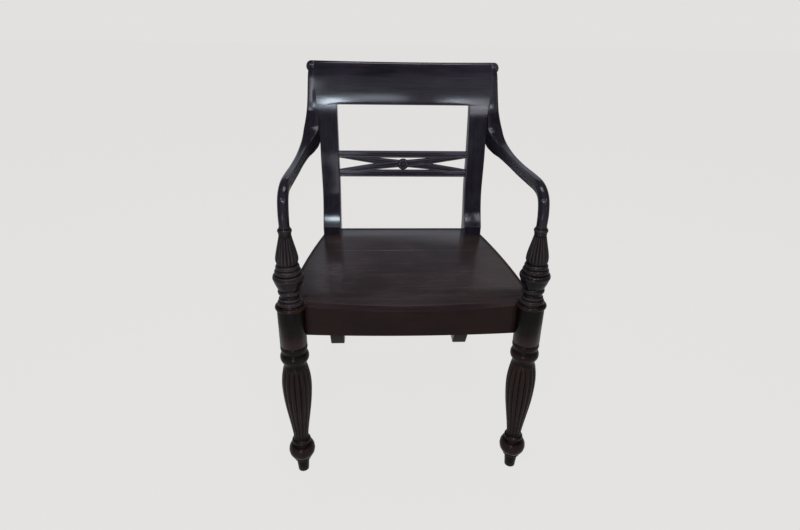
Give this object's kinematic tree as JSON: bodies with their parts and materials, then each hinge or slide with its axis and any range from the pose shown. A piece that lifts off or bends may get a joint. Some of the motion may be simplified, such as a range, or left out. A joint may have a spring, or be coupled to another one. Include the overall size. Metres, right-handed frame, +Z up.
{
  "type": "lamu chair",
  "caption": "open armchair with a scroll-topped crest rail, cross splat with a flower boss, swept arms on turned supports, board seat, reeded turned front legs and sabre back legs",
  "frame": {"origin": "centre of the bounding box in plan, on the floor", "axes": "+X is the viewer's right when the chair is seen from the front, +Y points to the back, +Z is up; left and right in node names are the viewer's, seen from the front"},
  "size_m": [0.5748, 0.6206, 0.902],
  "materials": {
    "frame_wood": "dark polished hardwood",
    "turned_wood": "dark polished hardwood, turned and carved",
    "seat_wood": "dark polished boards",
    "raw_wood": "unpolished hardwood on hidden pieces",
    "screw_steel": "plain steel"
  },
  "bodies": {
    "root": {"front_leg_left": "turned_wood", "front_leg_right": "turned_wood", "arm_support_left": "turned_wood", "arm_support_right": "turned_wood", "arm_left": "frame_wood", "arm_right": "frame_wood", "back_leg_left": "frame_wood", "back_leg_right": "frame_wood", "crest_rail": "frame_wood", "splat_rail_upper": "frame_wood", "splat_rail_lower": "frame_wood", "splat_diagonal_rising": "frame_wood", "splat_diagonal_falling": "frame_wood", "splat_rosette": "turned_wood", "front_rail": "frame_wood", "side_rail_left": "frame_wood", "side_rail_right": "frame_wood", "back_rail": "frame_wood", "seat_board_front": "seat_wood", "seat_board_middle": "seat_wood", "seat_board_back": "seat_wood", "seat_bearer": "raw_wood", "corner_block_front_left": "raw_wood", "corner_block_front_right": "raw_wood", "corner_block_back_left": "raw_wood", "corner_block_back_right": "raw_wood", "seat_screws": "screw_steel", "arm_dowels": "raw_wood"}
  },
  "joints": []
}
